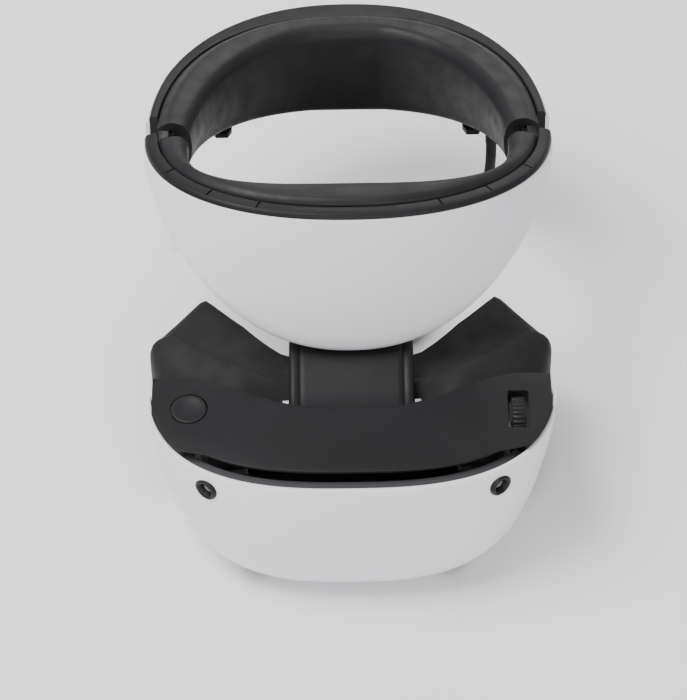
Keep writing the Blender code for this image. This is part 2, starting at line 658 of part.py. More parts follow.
def build_visor_inside():
    # Chassis: a ring that carries the optics
    bm = bmesh.new()
    rings = []
    for y, half_x, half_z in ((-0.1225, 0.0800, 0.0300), (-0.1440, 0.0770, 0.0290), (-0.1440, 0.0745, 0.0265),
                              (-0.1225, 0.0775, 0.0275)):
        rings.append([Vector((x, y, EYE_LEVEL + z)) for x, z, _ in oval(half_x, half_z, 5, 32)])
    loft(bm, rings, looped=True)
    chassis = add_object("visor_chassis", bm, "inner plastic")
    bm = bmesh.new()
    box(bm, (0.0400, -0.1300, EYE_LEVEL + 0.020), (0.0700, -0.1170, VISOR_TOP))
    cut(chassis, add_object("slot", bm, "black shell"))

    for side, name in ((1, "left"), (-1, "right")):
        x = side * EYE_HALF_SPACING
        bm = bmesh.new()
        tube = [(0.0230, -0.1380), (0.0230, -0.1080), (0.0238, -0.1060), (0.0238, -0.1040), (0.0212, -0.1040),
                (0.0206, -0.1100), (0.0206, -0.1380)]
        turned(bm, (x, 0, EYE_LEVEL), (0, 1, 0), tube, 32, True)
        add_object("lens_barrel_" + name, bm, "inner plastic", Vector((x, -0.121, EYE_LEVEL)))
        bm = bmesh.new()
        lens = [(0.0200, -0.1160), (0.0200, -0.1115), (0.0150, -0.1080), (0.0080, -0.1062), (0.0010, -0.1058)]
        turned(bm, (x, 0, EYE_LEVEL), (0, 1, 0), lens, 28)
        add_object("lens_" + name, bm, "lens glass", Vector((x, -0.121, EYE_LEVEL)))
        bm = bmesh.new()
        box(bm, (x - 0.0200, -0.1412, EYE_LEVEL - 0.0215), (x + 0.0200, -0.1386, EYE_LEVEL + 0.0215))
        add_object("display_" + name, bm, "gloss black", Vector((x, -0.121, EYE_LEVEL)))

    # Screw nut on the left barrel
    bm = bmesh.new()
    profile = [(-0.0032, -0.0034), (0.0032, -0.0034), (0.0032, 0.0034), (-0.0032, 0.0034)]
    rings = [[Vector((x, WHEEL_CENTRE.y + a, WHEEL_CENTRE.z + b)) for a, b in profile] for x in (0.0480, 0.0560)]
    loft(bm, rings)
    nut = add_object("screw_nut", bm, "brass", Vector((0.052, WHEEL_CENTRE.y, WHEEL_CENTRE.z)))
    bm = bmesh.new()
    y, z = WHEEL_CENTRE.y, WHEEL_CENTRE.z
    box(bm, (0.0455, y - 0.0025, EYE_LEVEL + 0.0195), (0.0490, y + 0.0025, z - 0.0025))
    cut(nut, add_object("arm", bm, "brass"), "UNION")
    bm = bmesh.new()
    turned(bm, (0, WHEEL_CENTRE.y, WHEEL_CENTRE.z), (1, 0, 0), [(0.0021, 0.040), (0.0021, 0.060)], 16)
    cut(nut, add_object("hole", bm, "brass"))

    # Racks and the pinion between the two lens units
    module = 0.0010
    teeth = 12
    pitch = module * teeth / 2
    y0, y1 = -0.1345, -0.1315
    for side, name in ((1, "left"), (-1, "right")):
        bm = bmesh.new()
        inner_z = EYE_LEVEL + side * (pitch + 1.25 * module)
        back_z = EYE_LEVEL + side * (pitch + 3.4 * module)
        tip_z = EYE_LEVEL + side * (pitch - 0.6 * module)
        outline = []
        step = pi * module
        for k in (-1, 0, 1):
            middle = k * step
            half = 0.21 * step
            outline += [(middle - half, inner_z), (middle - half / 2, tip_z), (middle + half / 2, tip_z),
                        (middle + half, inner_z)]
        outline += [(0.0092, inner_z), (0.0092, back_z), (-1.30 * step, back_z), (-1.30 * step, inner_z)]
        rings = [[Vector((side * x, y, z)) for x, z in outline] for y in (y0, y1)]
        loft(bm, rings)
        add_object("lens_rack_" + name, bm, "steel", Vector((0, -0.133, EYE_LEVEL)))
    bm = bmesh.new()
    centre = Vector((0, 0.5 * (y0 + y1), EYE_LEVEL))
    # The rack's tooth is in the middle at rest, so the pinion has a space there
    toothed(bm, centre, (0, 1, 0), teeth, pitch - 1.2 * module, pitch + 0.6 * module, y1 - y0, 0.40,
            pi / 2 + pi / teeth)
    add_object("lens_pinion", bm, "brass", centre)

    bm = bmesh.new()
    box(bm, (-0.062, -0.1480, EYE_LEVEL - 0.0240), (0.062, -0.1464, EYE_LEVEL + 0.0240))
    add_object("circuit_board", bm, "board")
    bm = bmesh.new()
    base_y = -0.1484
    outline = [(-0.0560, base_y), (-0.0560, base_y - 0.0012)]
    fins = 9
    for i in range(fins):
        x0 = -0.0555 + i * 0.0040
        outline += [(x0, base_y - 0.0012), (x0, base_y - 0.0060), (x0 + 0.0011, base_y - 0.0060),
                    (x0 + 0.0011, base_y - 0.0012)]
    outline += [(-0.0200, base_y - 0.0012), (-0.0200, base_y)]
    rings = [[Vector((x, y, z)) for x, y in outline] for z in (EYE_LEVEL - 0.018, EYE_LEVEL + 0.018)]
    loft(bm, rings)
    add_object("heat_sink", bm, "aluminium")

    fan = FAN_CENTRE
    bm = bmesh.new()
    housing = [(0.0180, -0.0050), (0.0180, 0.0050), (0.0165, 0.0050), (0.0165, -0.0050)]
    turned(bm, fan, (0, 1, 0), housing, 28, True)
    add_object("fan_housing", bm, "inner plastic", fan)
    bm = bmesh.new()
    blades = 9
    outline = []
    for i in range(blades):
        start = tau * i / blades
        for radius, offset in ((0.0070, 0.0), (0.0155, 0.16), (0.0155, 0.24), (0.0070, 0.13)):
            outline.append((radius * cos(start + offset), radius * sin(start + offset)))
    rings = [[fan + Vector((x, y, z)) for x, z in outline] for y in (-0.0035, 0.0035)]
    loft(bm, rings)
    add_object("fan_rotor", bm, "inner plastic", fan)

    bm = bmesh.new()
    box(bm, (-0.0030, -0.1180, EYE_LEVEL + 0.0120), (0.0030, -0.1160, EYE_LEVEL + 0.0180))
    add_object("wear_sensor", bm, "gloss black")


FAN_CENTRE = Vector((0.022, -0.1560, EYE_LEVEL - 0.001))


def shield_ring(y_mid, y_side, half_x, half_z, middle_z, notch, inset):
    """One ring of the light shield: y runs from y_mid at the middle to y_side at the sides.

    notch lifts its lower edge for the nose, and its upper edge dips under the neck.
    """
    ring = []
    for x, z, angle in oval(half_x - inset, half_z - inset, 9, 56):
        share = min(abs(x) / (0.92 * half_x), 1.0) ** 2
        y = y_mid + (y_side - y_mid) * share
        if sin(angle) < 0:
            z += notch * max(1 - (x / 0.030) ** 2, 0.0)
        elif sin(angle) > 0:
            z -= 0.0100 * max(1 - (x / 0.055) ** 2, 0.0)
        ring.append(Vector((x, y, middle_z + z)))
    return ring


def build_light_shield():
    """Rubber shield between the visor and the face, open at both ends."""
    wall = 0.0018
    shape = [
        (-0.1205, -0.1060, 0.0880, 0.0335, EYE_LEVEL, 0.000),
        (-0.1120, -0.0940, 0.0985, 0.0370, EYE_LEVEL + 0.0005, 0.004),
        (-0.1040, -0.0700, 0.1036, 0.0400, EYE_LEVEL + 0.0010, 0.008),
        (-0.0995, -0.0630, 0.1000, 0.0380, EYE_LEVEL, 0.012),
        (-0.0930, -0.0525, 0.0915, 0.0372, EYE_LEVEL, 0.017),
        (-0.0850, -0.0400, 0.0815, 0.0375, EYE_LEVEL - 0.0005, 0.022),
    ]
    bm = bmesh.new()
    outer = [shield_ring(*numbers, 0.0) for numbers in shape]
    inner = [shield_ring(*numbers, wall) for numbers in reversed(shape)]
    loft(bm, outer + inner, looped=True)
    add_object("light_shield", bm, "rubber")


# ---------------------------------------------------------------- cable

GLAND_TOP = band_to_world(0.0785, 0.0805, -0.0242)
CABLE_ROUTE = [
    (0.0785, 0.0730, -0.0745), (0.0785, 0.0733, -0.0850), (0.0778, 0.0742, -0.0960), (0.0750, 0.0755, -0.1080),
    (0.0700, 0.0765, -0.1190), (0.0625, 0.0772, -0.1290), (0.0530, 0.0775, -0.1365), (0.0420, 0.0773, -0.1408),
    (0.0330, 0.0768, -0.1419), (0.0260, 0.0765, -0.1420),
]
TAIL_ROUTE = [
    (-0.0260, 0.0765, -0.1245), (-0.0340, 0.0760, -0.1275), (-0.0420, 0.0752, -0.1330), (-0.0500, 0.0746, -0.1385),
    (-0.0580, 0.0743, -0.1415), (-0.0640, 0.0742, -0.1420),
]


def smooth_points(points, per_span):
    """Points on a Catmull-Rom curve through the given ones."""
    points = [Vector(p) for p in points]
    ends = [2 * points[0] - points[1]] + points + [2 * points[-1] - points[-2]]
    made = []
    for i in range(1, len(ends) - 2):
        a, b, c, d = ends[i - 1: i + 3]
        for k in range(per_span):
            t = k / per_span
            made.append(0.5 * (2 * b + (c - a) * t + (2 * a - 5 * b + 4 * c - d) * t * t
                               + (3 * b - a - 3 * c + d) * t * t * t))
    made.append(points[-1])
    return made


def add_tube(name, points, radius, finish):
    curve = bpy.data.curves.new(name, "CURVE")
    curve.dimensions = "3D"
    curve.bevel_depth = radius
    curve.bevel_resolution = 2
    curve.use_fill_caps = True
    spline = curve.splines.new("POLY")
    spline.points.add(len(points) - 1)
    for slot, point in zip(spline.points, points):
        slot.co = (*point, 1.0)
    made = bpy.data.objects.new(name, curve)
    bpy.context.scene.collection.objects.link(made)
    curve.materials.append(material(finish))
    return made


def build_cable():
    top = GLAND_TOP
    down = Vector((0, 0, -1))
    bm = bmesh.new()
    turned(bm, top, down, [(0.0036, 0.0), (0.0042, 0.0022), (0.0042, 0.0060), (0.0033, 0.0280)], 20)
    add_object("cable_gland", bm, "rubber", top)
    start = top + Vector((0, 0, -0.0285))
    add_tube("cable", smooth_points([start] + CABLE_ROUTE, 2), CABLE_RADIUS, "rubber")

    width = CABLE_RADIUS * 2 * COIL_COLUMNS
    height = CABLE_RADIUS * 2 * COIL_ROWS
    low = FLOOR + TIE_THICKNESS + GAP
    inner, outer = COIL_MEAN_RADIUS - width / 2, COIL_MEAN_RADIUS + width / 2
    bm = bmesh.new()
    soft = 0.0016
    profile = [(outer - soft, 0), (outer, soft), (outer, height - soft), (outer - soft, height),
               (inner + soft, height), (inner, height - soft), (inner, soft), (inner + soft, 0)]
    turned(bm, (*COIL_CENTRE, low), (0, 0, 1), profile, 40, True)
    add_object("cable_coil", bm, "rubber", Vector((*COIL_CENTRE, low)))

    bm = bmesh.new()
    angle = radians(200)
    out = Vector((cos(angle), sin(angle), 0))
    across = Vector((-sin(angle), cos(angle), 0))
    middle = Vector((*COIL_CENTRE, low + height / 2)) + COIL_MEAN_RADIUS * out
    loops = []
    for grow, side in ((GAP + TIE_THICKNESS, -0.006), (GAP + TIE_THICKNESS, 0.006), (GAP, 0.006), (GAP, -0.006)):
        loop = []
        for sr, sz in ((1, -1), (1, 1), (-1, 1), (-1, -1)):
            r = sr * (width / 2 + grow + (0.0012 if sr < 0 else 0.0))
            z = sz * (height / 2 + grow)
            loop.append(middle + r * out + side * across + Vector((0, 0, z)))
        loops.append(loop)
    loft(bm, loops, looped=True)
    add_object("cable_tie", bm, "pad", middle)

    add_tube("cable_tail", smooth_points(TAIL_ROUTE, 2), CABLE_RADIUS, "rubber")
    bm = bmesh.new()
    end = Vector(TAIL_ROUTE[-1])
    lift = Vector((end.x, end.y, FLOOR + 0.0034))
    rings = []
    sections = ((-0.0004, 0.0030, 0.0028), (-0.0080, 0.0032, 0.0030), (-0.0085, 0.0058, 0.0033),
                (-0.0260, 0.0060, 0.0033), (-0.0272, 0.0052, 0.0026), (-0.0274, 0.0042, 0.0012),
                (-0.0338, 0.0042, 0.0012), (-0.0341, 0.0039, 0.0009))
    corners = ((1, 0.5), (0.7, 1), (-0.7, 1), (-1, 0.5), (-1, -0.5), (-0.7, -1), (0.7, -1), (1, -0.5))
    for x, half_y, half_z in sections:
        rings.append([lift + Vector((x, half_y * a, half_z * b)) for a, b in corners])
    loft(bm, rings)
    add_object("cable_plug", bm, "rubber", lift)


def main():
    clear_scene()
    build_front_section()
    build_rear_section()
    build_visor_shells()
    build_visor_controls()
    build_neck()
    build_visor_inside()
    build_light_shield()
    build_cable()


main()
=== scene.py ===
import json
from math import cos, pi, radians, sin, tau

import bmesh
import bpy
from mathutils import Matrix, Vector


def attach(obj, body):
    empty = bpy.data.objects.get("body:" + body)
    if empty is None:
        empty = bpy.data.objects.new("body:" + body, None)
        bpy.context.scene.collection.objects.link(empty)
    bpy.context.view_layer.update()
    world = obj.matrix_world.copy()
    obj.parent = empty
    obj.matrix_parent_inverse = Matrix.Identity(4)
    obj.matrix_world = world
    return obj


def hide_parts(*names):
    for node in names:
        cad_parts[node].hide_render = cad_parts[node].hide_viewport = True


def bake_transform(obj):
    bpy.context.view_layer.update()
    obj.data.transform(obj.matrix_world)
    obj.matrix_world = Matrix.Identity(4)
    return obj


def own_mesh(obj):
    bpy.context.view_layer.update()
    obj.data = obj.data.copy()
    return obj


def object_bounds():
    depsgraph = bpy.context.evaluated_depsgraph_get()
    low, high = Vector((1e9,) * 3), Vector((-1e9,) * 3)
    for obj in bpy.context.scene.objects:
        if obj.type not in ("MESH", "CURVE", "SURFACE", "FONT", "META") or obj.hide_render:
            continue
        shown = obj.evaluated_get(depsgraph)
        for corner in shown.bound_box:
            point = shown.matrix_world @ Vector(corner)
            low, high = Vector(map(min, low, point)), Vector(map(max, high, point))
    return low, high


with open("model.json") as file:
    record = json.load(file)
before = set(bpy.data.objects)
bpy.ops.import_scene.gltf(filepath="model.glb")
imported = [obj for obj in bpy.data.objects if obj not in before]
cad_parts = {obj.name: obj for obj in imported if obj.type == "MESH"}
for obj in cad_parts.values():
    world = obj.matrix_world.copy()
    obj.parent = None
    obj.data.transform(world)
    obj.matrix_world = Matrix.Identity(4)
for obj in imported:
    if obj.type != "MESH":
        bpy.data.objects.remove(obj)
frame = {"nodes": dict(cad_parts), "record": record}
cad_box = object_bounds()
NODES = frame["nodes"]
RECORD = frame["record"]

GAP = 0.0003

# ---------------------------------------------------------------- camera, light and floor


def build_camera():
    """Looks down at the front of the headset, nearly square on."""
    eye = Vector((-0.0057, -1.0553, 1.0884))
    ahead = Vector((0.00125, 0.6469, -0.7634)).normalized()
    right = Vector((0.99994, -0.0132, -0.0069))
    right = (right - right.dot(ahead) * ahead).normalized()
    up = right.cross(ahead)
    turn = Matrix((right, up, -ahead)).transposed()
    data = bpy.data.cameras.new("main_camera")
    data.lens = 152.3
    data.sensor_width = 36.0
    data.clip_start = 0.05
    made = bpy.data.objects.new("main_camera", data)
    made.matrix_world = Matrix.Translation(eye) @ turn.to_4x4()
    bpy.context.scene.collection.objects.link(made)
    bpy.context.scene.camera = made


def area_light(name, place, aim, size, power, colour=(1.0, 1.0, 1.0)):
    data = bpy.data.lights.new(name, "AREA")
    data.shape = "RECTANGLE"
    data.size, data.size_y = size
    data.energy = power
    data.color = colour
    made = bpy.data.objects.new(name, data)
    made.location = place
    made.rotation_euler = (Vector(aim) - Vector(place)).to_track_quat("-Z", "Y").to_euler()
    bpy.context.scene.collection.objects.link(made)


def build_studio():
    world = bpy.data.worlds.new("studio")
    bpy.context.scene.world = world
    world.use_nodes = True
    sky = world.node_tree.nodes["Background"]
    sky.inputs["Color"].default_value = (1.0, 1.0, 1.0, 1.0)
    sky.inputs["Strength"].default_value = 0.55
    aim = (0.0, -0.02, -0.06)
    area_light("key", (-0.55, -0.10, 1.10), aim, (0.70, 0.70), 20.0)
    area_light("front", (0.10, -1.30, 0.50), aim, (1.20, 0.50), 9.0)
    area_light("back", (0.25, 1.10, 0.75), aim, (1.20, 0.40), 9.0)

    mesh = bpy.data.meshes.new("floor")
    half = 3.0
    level = cad_box[0][2] - 0.0002
    corners = [(-half, -half), (half, -half), (half, half), (-half, half)]
    mesh.from_pydata([(x, y, level) for x, y in corners], [], [(0, 1, 2, 3)])
    floor = bpy.data.objects.new("floor", mesh)
    bpy.context.scene.collection.objects.link(floor)
    mesh.materials.append(floor_material())


def floor_material():
    made = bpy.data.materials.new("floor paper")
    made.use_nodes = True
    shader = made.node_tree.nodes["Principled BSDF"]
    shader.inputs["Base Color"].default_value = (0.93, 0.93, 0.94, 1.0)
    shader.inputs["Roughness"].default_value = 0.9
    return made


# ---------------------------------------------------------------- materials


class Look:
    """A small helper that wires one procedural material."""

    def __init__(self, name, colour, roughness, metallic=0.0):
        self.material = bpy.data.materials.new(name)
        self.material.use_nodes = True
        self.tree = self.material.node_tree
        self.shader = self.tree.nodes["Principled BSDF"]
        self.shader.inputs["Base Color"].default_value = (*colour, 1.0)
        self.shader.inputs["Roughness"].default_value = roughness
        self.shader.inputs["Metallic"].default_value = metallic
        self.colour = colour
        self.coords = self.tree.nodes.new("ShaderNodeTexCoord").outputs["Object"]
        self.bump = None

    def link(self, a, b):
        self.tree.links.new(a, b)

    def noise(self, scale, detail=3.0, roughness=0.55, stretch=None, offset=0.0):
        node = self.tree.nodes.new("ShaderNodeTexNoise")
        node.inputs["Scale"].default_value = scale
        node.inputs["Detail"].default_value = detail
        node.inputs["Roughness"].default_value = roughness
        source = self.coords
        if stretch or offset:
            mapping = self.tree.nodes.new("ShaderNodeMapping")
            mapping.inputs["Scale"].default_value = stretch or (1, 1, 1)
            mapping.inputs["Location"].default_value = (offset, offset, offset)
            self.link(source, mapping.inputs["Vector"])
            source = mapping.outputs["Vector"]
        self.link(source, node.inputs["Vector"])
        return node.outputs["Fac"]

    def cells(self, scale, feature="F1", randomness=1.0):
        node = self.tree.nodes.new("ShaderNodeTexVoronoi")
        node.feature = feature
        node.inputs["Scale"].default_value = scale
        node.inputs["Randomness"].default_value = randomness
        self.link(self.coords, node.inputs["Vector"])
        return node.outputs["Distance"]

    def ramp(self, source, low, high, start=0.0, end=1.0):
        """Maps source from start..end to low..high."""
        node = self.tree.nodes.new("ShaderNodeMapRange")
        node.inputs["From Min"].default_value = start
        node.inputs["From Max"].default_value = end
        node.inputs["To Min"].default_value = low
        node.inputs["To Max"].default_value = high
        self.link(source, node.inputs["Value"])
        return node.outputs["Result"]

    def vary_roughness(self, source, low, high, start=0.3, end=0.7):
        self.link(self.ramp(source, low, high, start, end), self.shader.inputs["Roughness"])

    def vary_colour(self, source, other, start=0.35, end=0.65):
        """Blends the base colour towards other where source is high."""
        node = self.tree.nodes.new("ShaderNodeMix")
        node.data_type = "RGBA"
        node.inputs["A"].default_value = (*self.colour, 1.0)
        node.inputs["B"].default_value = (*other, 1.0)
        self.link(self.ramp(source, 0.0, 1.0, start, end), node.inputs["Factor"])
        self.link(node.outputs["Result"], self.shader.inputs["Base Color"])

    def relief(self, source, depth, strength=1.0):
        """Adds a bump of about depth metres on top of those already there."""
        node = self.tree.nodes.new("ShaderNodeBump")
        node.inputs["Strength"].default_value = strength
        node.inputs["Distance"].default_value = depth
        self.link(source, node.inputs["Height"])
        if self.bump:
            self.link(self.bump, node.inputs["Normal"])
        self.bump = node.outputs["Normal"]
        self.link(self.bump, self.shader.inputs["Normal"])

    def set(self, **values):
        for name, value in values.items():
            self.shader.inputs[name.replace("_", " ")].default_value = value


def build_looks():
    looks = {}

    def keep(key, look):
        looks[key] = look.material

    white = Look("white shell", (0.80, 0.80, 0.835), 0.36)
    white.vary_roughness(white.noise(60, 4), 0.33, 0.42)
    white.vary_colour(white.noise(9, 2), (0.775, 0.778, 0.815))
    white.relief(white.noise(2600, 2), 0.00004, 0.35)
    white.set(Coat_Weight=0.12, Coat_Roughness=0.25)
    keep("white_shell", white)

    black = Look("black shell", (0.0085, 0.0085, 0.0095), 0.46)
    black.vary_roughness(black.noise(80, 4), 0.40, 0.54)
    black.vary_colour(black.noise(14, 3), (0.012, 0.012, 0.0135))
    black.relief(black.cells(3200), 0.00006, 0.55)
    black.set(Specular_IOR_Level=0.20)
    keep("black_shell", black)

    pad = Look("pad", (0.0100, 0.0100, 0.0115), 0.52)
    pad.vary_roughness(pad.noise(120, 5), 0.40, 0.58)
    pad.vary_colour(pad.noise(40, 3), (0.0145, 0.0145, 0.0160))
    pad.relief(pad.cells(1500, "DISTANCE_TO_EDGE"), 0.00012, 0.45)
    pad.relief(pad.noise(160, 3), 0.0004, 0.30)
    pad.set(Sheen_Weight=0.02, Sheen_Roughness=0.4, Specular_IOR_Level=0.24)
    keep("pad", pad)

    rubber = Look("rubber", (0.0105, 0.0105, 0.0115), 0.66)
    rubber.vary_roughness(rubber.noise(90, 4), 0.62, 0.80)
    rubber.vary_colour(rubber.noise(30, 3), (0.0160, 0.0160, 0.0170))
    rubber.relief(rubber.noise(2200, 2), 0.00006, 0.5)
    rubber.set(Specular_IOR_Level=0.22)
    keep("rubber", rubber)

    key = Look("button black", (0.010, 0.010, 0.0115), 0.50)
    key.vary_roughness(key.noise(140, 4), 0.44, 0.56)
    key.relief(key.noise(3000, 2), 0.00004, 0.4)
    key.set(Specular_IOR_Level=0.25)
    keep("button_black", key)

    steel = Look("steel", (0.62, 0.63, 0.65), 0.30, 1.0)
    steel.vary_roughness(steel.noise(900, 3, stretch=(0.08, 1, 1)), 0.22, 0.42)
    steel.relief(steel.noise(1600, 2, stretch=(0.05, 1, 1)), 0.00002, 0.4)
    keep("steel", steel)

    brass = Look("brass", (0.70, 0.52, 0.24), 0.34, 1.0)
    brass.vary_roughness(brass.noise(400, 3), 0.26, 0.44)
    brass.vary_colour(brass.noise(120, 3), (0.58, 0.42, 0.20))
    keep("brass", brass)

    aluminium = Look("aluminium", (0.74, 0.75, 0.77), 0.38, 1.0)
    aluminium.vary_roughness(aluminium.noise(700, 3, stretch=(1, 1, 0.1)), 0.30, 0.48)
    keep("aluminium", aluminium)

    gloss = Look("gloss black", (0.010, 0.010, 0.012), 0.10)
    gloss.vary_roughness(gloss.noise(200, 3), 0.07, 0.14)
    gloss.set(Coat_Weight=0.5, Coat_Roughness=0.03)
    keep("gloss_black", gloss)

    glass = Look("lens glass", (0.10, 0.11, 0.13), 0.03)
    glass.vary_roughness(glass.noise(120, 2), 0.02, 0.05)
    glass.set(Coat_Weight=1.0, Coat_Roughness=0.02, IOR=1.55, Transmission_Weight=0.35)
    keep("lens_glass", glass)

    board = Look("board", (0.010, 0.018, 0.016), 0.45)
    board.vary_colour(board.cells(420, "DISTANCE_TO_EDGE"), (0.030, 0.045, 0.038), 0.02, 0.05)
    board.relief(board.cells(420, "DISTANCE_TO_EDGE"), 0.00005, 0.5)
    keep("board", board)

    inner = Look("inner plastic", (0.040, 0.040, 0.045), 0.55)
    inner.vary_roughness(inner.noise(150, 4), 0.48, 0.62)
    inner.relief(inner.noise(2400, 2), 0.00005, 0.4)
    keep("inner_plastic", inner)
    return looks


LOOKS = build_looks()
for part in RECORD["subparts"]:
    node = NODES[part["node"]]
    node.data.materials.clear()
    node.data.materials.append(LOOKS[part["material_slot"]])


# ---------------------------------------------------------------- shape helpers


def make_piece(name, bm, slot, smooth=38):
    bmesh.ops.recalc_face_normals(bm, faces=bm.faces)
    mesh = bpy.data.meshes.new(name)
    bm.to_mesh(mesh)
    bm.free()
    mesh.shade_smooth()
    mesh.set_sharp_from_angle(angle=radians(smooth))
    made = bpy.data.objects.new(name, mesh)
    bpy.context.scene.collection.objects.link(made)
    mesh.materials.append(LOOKS[slot])
    return made


def put(name, bm, slot, body, smooth=38, stands_for=()):
    """Turns bm into a finished piece that rides on a body and may stand for some frame nodes."""
    made = make_piece(name, bm, slot, smooth)
    settle(made, body, stands_for)
    return made


def settle(made, body, stands_for=()):
    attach(made, body)
    if stands_for:
        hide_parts(*stands_for)


def loft(bm, rings, capped=True, looped=False):
    """Skins closed rings of points, one after the other. looped joins the last ring to the first."""
    rows = [[bm.verts.new(point) for point in ring] for ring in rings]
    pairs = list(zip(rows, rows[1:]))
    if looped:
        pairs.append((rows[-1], rows[0]))
    for low, high in pairs:
        for i in range(len(low)):
            j = (i + 1) % len(low)
            bm.faces.new((low[i], low[j], high[j], high[i]))
    if capped and not looped:
        bm.faces.new(rows[0])
        bm.faces.new(rows[-1])


def axis_frame(axis):
    """A rotation that takes +Z to axis."""
    return Vector((0, 0, 1)).rotation_difference(Vector(axis).normalized()).to_matrix()


def turned(bm, centre, axis, profile, sides=64, hollow=False):
    """Spins a profile of (radius, height) about axis. hollow joins the last point to the first."""
    turn = axis_frame(axis)
    rings = []
    for radius, height in profile:
        rings.append([Vector(centre) + turn @ Vector((radius * cos(tau * i / sides),
                                                      radius * sin(tau * i / sides),
                                                      height)) for i in range(sides)])
    loft(bm, rings, capped=not hollow, looped=hollow)


def rounded(points, radii, arc=5):
    """Rounds the corners of a closed outline. radii is one radius or one for each corner."""
    points = [Vector(p) for p in points]
    count = len(points)
    if isinstance(radii, (int, float)):
        radii = [radii] * count
    made = []
    for i, point in enumerate(points):
        before = points[i - 1] - point
        after = points[(i + 1) % count] - point
        reach = min(radii[i], 0.45 * before.length, 0.45 * after.length)
        start = point + before.normalized() * reach
        end = point + after.normalized() * reach
        for k in range(arc + 1):
            t = k / arc
            made.append((1 - t) ** 2 * start + 2 * t * (1 - t) * point + t * t * end)
    return made


def subtract(target, cutter):
    """Cuts cutter out of target and removes it."""
    step = target.modifiers.new("cut", "BOOLEAN")
    step.object = cutter
    step.solver = "EXACT"
    bpy.context.view_layer.update()
    graph = bpy.context.evaluated_depsgraph_get()
    result = bpy.data.meshes.new_from_object(target.evaluated_get(graph))
    target.modifiers.remove(step)
    target.data = result
    bpy.data.objects.remove(cutter, do_unlink=True)
    result.shade_smooth()
    result.set_sharp_from_angle(angle=radians(38))


def tool(bm):
    """A cutter, which is in no body and never shows."""
    bmesh.ops.recalc_face_normals(bm, faces=bm.faces)
    mesh = bpy.data.meshes.new("tool")
    bm.to_mesh(mesh)
    bm.free()
    made = bpy.data.objects.new("tool", mesh)
    bpy.context.scene.collection.objects.link(made)
    return made


# ---------------------------------------------------------------- head band

BAND_TILT = radians(13)
DIAL_HEIGHT = -0.0260
BAND_HALF_WIDTH = 0.104
BAND_FRONT = 0.078
BAND_REAR = 0.134
BAND_POWER = 2.2
COVER_TOP = 0.010
COVER_DEPTH = 0.0715
COVER_WALL = 0.0022


def band_to_world(x, f, u):
    return Vector((x, f * cos(BAND_TILT) + u * sin(BAND_TILT), -f * sin(BAND_TILT) + u * cos(BAND_TILT)))


def band_point(angle, inset, u):
    """A point on the band's outline: angle 0 is the middle of the front, 90 degrees is +X."""
    reach = BAND_FRONT if cos(angle) >= 0 else BAND_REAR
    side = (BAND_HALF_WIDTH - inset) * abs(sin(angle)) ** (2 / BAND_POWER)
    along = (reach - inset) * abs(cos(angle)) ** (2 / BAND_POWER)
    return band_to_world(side if sin(angle) >= 0 else -side, -along if cos(angle) >= 0 else along, u)


def sweep_band(bm, first, last, steps, section):
    """Sweeps section(angle), a closed list of (inset, u), along the band's outline."""
    rings = []
    for i in range(steps + 1):
        angle = radians(first + (last - first) * i / steps)
        rings.append([band_point(angle, p[0], p[1]) for p in section(angle)])
    loft(bm, rings)


def crescent_foot(angle):
    """The height of the front cover's lower edge."""
    return COVER_TOP - 0.010 - COVER_DEPTH * max(cos(angle), 0.0) ** 1.5


def rear_drop(angle):
    """How far the rear section reaches down behind the size dial."""
    return 0.027 * max(-cos(angle), 0.0) ** 12


def brow_depth(angle):
    """How far inside the outline the forehead pad reaches, so that its inner edge is a squarish oval."""
    low, high = 0.012, 0.030
    for _ in range(24):
        depth = 0.5 * (low + high)
        x = (BAND_HALF_WIDTH - depth) * abs(sin(angle)) ** (2 / BAND_POWER)
        f = (BAND_FRONT - depth) * abs(cos(angle)) ** (2 / BAND_POWER)
        if (x / 0.0815) ** 3.4 + (f / 0.0525) ** 3.4 > 1:
            low = depth
        else:
            high = depth
    return depth


def rear_frame_depth(angle):
    return 0.0056 + 0.0092 * max(-cos(angle), 0.0) ** 4


